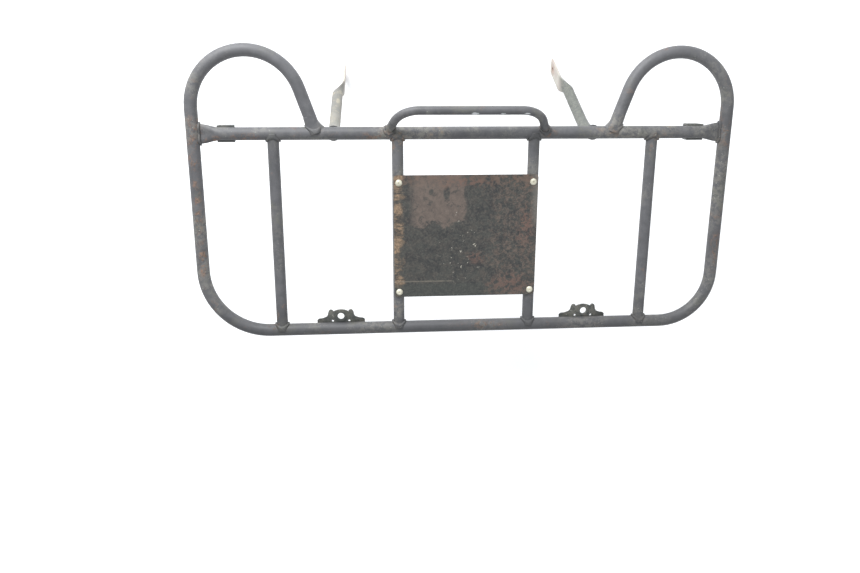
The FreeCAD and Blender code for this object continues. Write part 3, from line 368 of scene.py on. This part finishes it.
def laid_bead(node, rise):
    me = nodes[node].data.copy()
    bm = bmesh.new()
    bm.from_mesh(me)
    bmesh.ops.remove_doubles(bm, verts=bm.verts, dist=2e-6)
    for _ in range(3):
        long = [e for e in bm.edges if e.calc_length() > 0.0014]
        if not long:
            break
        bmesh.ops.subdivide_edges(bm, edges=long, cuts=1)
        bmesh.ops.triangulate(bm, faces=bm.faces)
    bm.normal_update()
    moves = []
    for v in bm.verts:
        p = v.co
        ripple = 0.5 + 0.5 * math.sin(p.x * 1900.0 + p.y * 1500.0 + 3.0 * mnoise.noise(p * 160.0))
        lump = 0.5 + 0.5 * mnoise.noise(p * 420.0)
        moves.append(v.normal * rise * (0.45 * ripple + 0.55 * lump))
    for v, m in zip(bm.verts, moves):
        v.co += m
    bm.normal_update()
    for f in bm.faces:
        f.smooth = True
    bm.to_mesh(me)
    bm.free()
    ob = bpy.data.objects.new(node + "_beads", me)
    bpy.context.scene.collection.objects.link(ob)
    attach(ob, "root")
    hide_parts(node)
    return ob


for name in ("crossbar_welds", "ear_welds", "handle_welds", "stay_welds", "rail_end_welds"):
    laid_bead(name, 0.00055)

# ---------------------------------------------------------------- ear feet
# Each ear leg spreads into its seat on the inner rail, mostly inboard.
def ear_flare(name, side, inboard, outboard):
    r, n, m = 9.5, 40, 16
    fx, fy = side * 223.4, 300.0
    d = (side * 0.317, 0.948)
    w = (-side * 0.948, 0.317)
    bm = bmesh.new()
    rings = []
    for k in range(m + 1):
        q = k / m
        t = 30.0 - 27.0 * q
        # the sections turn parallel to the rail as they go into it
        wx, wy = w[0] * (1.0 - q) - side * q, w[1] * (1.0 - q)
        spread = min(1.0, (30.0 - t) / 23.0) ** 2.3
        tall = r * (0.985 - 0.09 * max(0.0, (q - 0.62) / 0.38))
        ring = []
        for i in range(n):
            th = 2.0 * math.pi * i / n
            cw = math.cos(th)
            reach = r * 0.985 + (inboard if cw > 0.0 else outboard) * spread
            a, h = cw * reach, math.sin(th) * tall
            px, py, pz = deck(fx + t * d[0] + a * wx, fy + t * d[1] + a * wy, h)
            k1 = 0.00045 * spread * mnoise.noise((px * 170.0, py * 170.0, pz * 170.0))
            ring.append(bm.verts.new((px + k1, py + k1, pz + k1 * 0.4)))
        rings.append(ring)
    for a, b in zip(rings, rings[1:]):
        for i in range(n):
            j = (i + 1) % n
            bm.faces.new((a[i], a[j], b[j], b[i]) if side < 0 else (a[i], b[i], b[j], a[j]))
    bm.faces.new(rings[0])
    bm.faces.new(rings[-1][::-1])
    bmesh.ops.recalc_face_normals(bm, faces=bm.faces)
    for f in bm.faces:
        f.smooth = len(f.verts) == 4
    me = bpy.data.meshes.new(name)
    bm.to_mesh(me)
    bm.free()
    me.materials.append(tube_mat)
    ob = bpy.data.objects.new(name, me)
    bpy.context.scene.collection.objects.link(ob)
    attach(ob, "root")
    return ob


ear_flare("ear_foot_left", -1, 13.0, 6.0)
ear_flare("ear_foot_right", 1, 11.0, 3.5)

# ------------------------------------------------------------------- camera
right = Vector((0.996231, 0.002618, 0.086702))
up = Vector((0.02084, 0.963041, -0.268548))
back = Vector((-0.084201, 0.269343, 0.959356))
cam_data = bpy.data.cameras.new("camera")
cam_data.sensor_fit = "HORIZONTAL"
cam_data.sensor_width = 36.0
cam_data.lens = 36.0 * 763.0475 / 860.0
cam = bpy.data.objects.new("camera", cam_data)
bpy.context.scene.collection.objects.link(cam)
cam.matrix_world = Matrix((
    (right.x, up.x, back.x, -0.1555),
    (right.y, up.y, back.y, 0.1791),
    (right.z, up.z, back.z, 1.1545 + DZ),
    (0, 0, 0, 1)))
bpy.context.scene.camera = cam


# -------------------------------------------------------------------- floor
bm = bmesh.new()
bmesh.ops.create_grid(bm, x_segments=1, y_segments=1, size=6.0)
me = bpy.data.meshes.new("floor")
bm.to_mesh(me)
bm.free()
floor = bpy.data.objects.new("floor", me)
floor.location = (0, 0, -0.0005)
bpy.context.scene.collection.objects.link(floor)
fm = Graph("floor_pale")
fm.link(fm.mix(fm.noise(3.0, 3.0, 0.5), srgb(250, 250, 250), srgb(253, 253, 253)), fm.bsdf.inputs["Base Color"])
fm.bsdf.inputs["Roughness"].default_value = 0.9
floor.data.materials.append(fm.mat)
floor_shader = [k for k in floor.data.materials[0].node_tree.nodes if k.type == "BSDF_PRINCIPLED"][0]
floor_shader.inputs["Emission Color"].default_value = (0.97, 0.98, 1.0, 1.0)
floor_shader.inputs["Emission Strength"].default_value = 0.12

# ------------------------------------------------------------------- lights
world = bpy.data.worlds.new("world")
world.use_nodes = True
world.node_tree.nodes["Background"].inputs[0].default_value = (0.94, 0.97, 1.0, 1)
world.node_tree.nodes["Background"].inputs[1].default_value = 0.80
bpy.context.scene.world = world


def area(name, loc, size, power, color=(1, 1, 1), target=(0, 0, 0.2)):
    d = bpy.data.lights.new(name, "AREA")
    d.shape = "DISK"
    d.size = size
    d.energy = power
    d.color = color
    o = bpy.data.objects.new(name, d)
    o.location = loc
    o.rotation_euler = (Vector(target) - Vector(loc)).to_track_quat("-Z", "Y").to_euler()
    bpy.context.scene.collection.objects.link(o)


area("key", (-0.75, 1.55, 1.15), 1.3, 62, (0.97, 0.98, 1.0), (-0.1, 0.1, 0.2))
area("fill", (1.6, -1.0, 2.2), 2.4, 8)
bpy.context.scene.view_settings.view_transform = "Standard"
bpy.context.scene.view_settings.look = "None"
bpy.context.scene.view_settings.exposure = 0.0
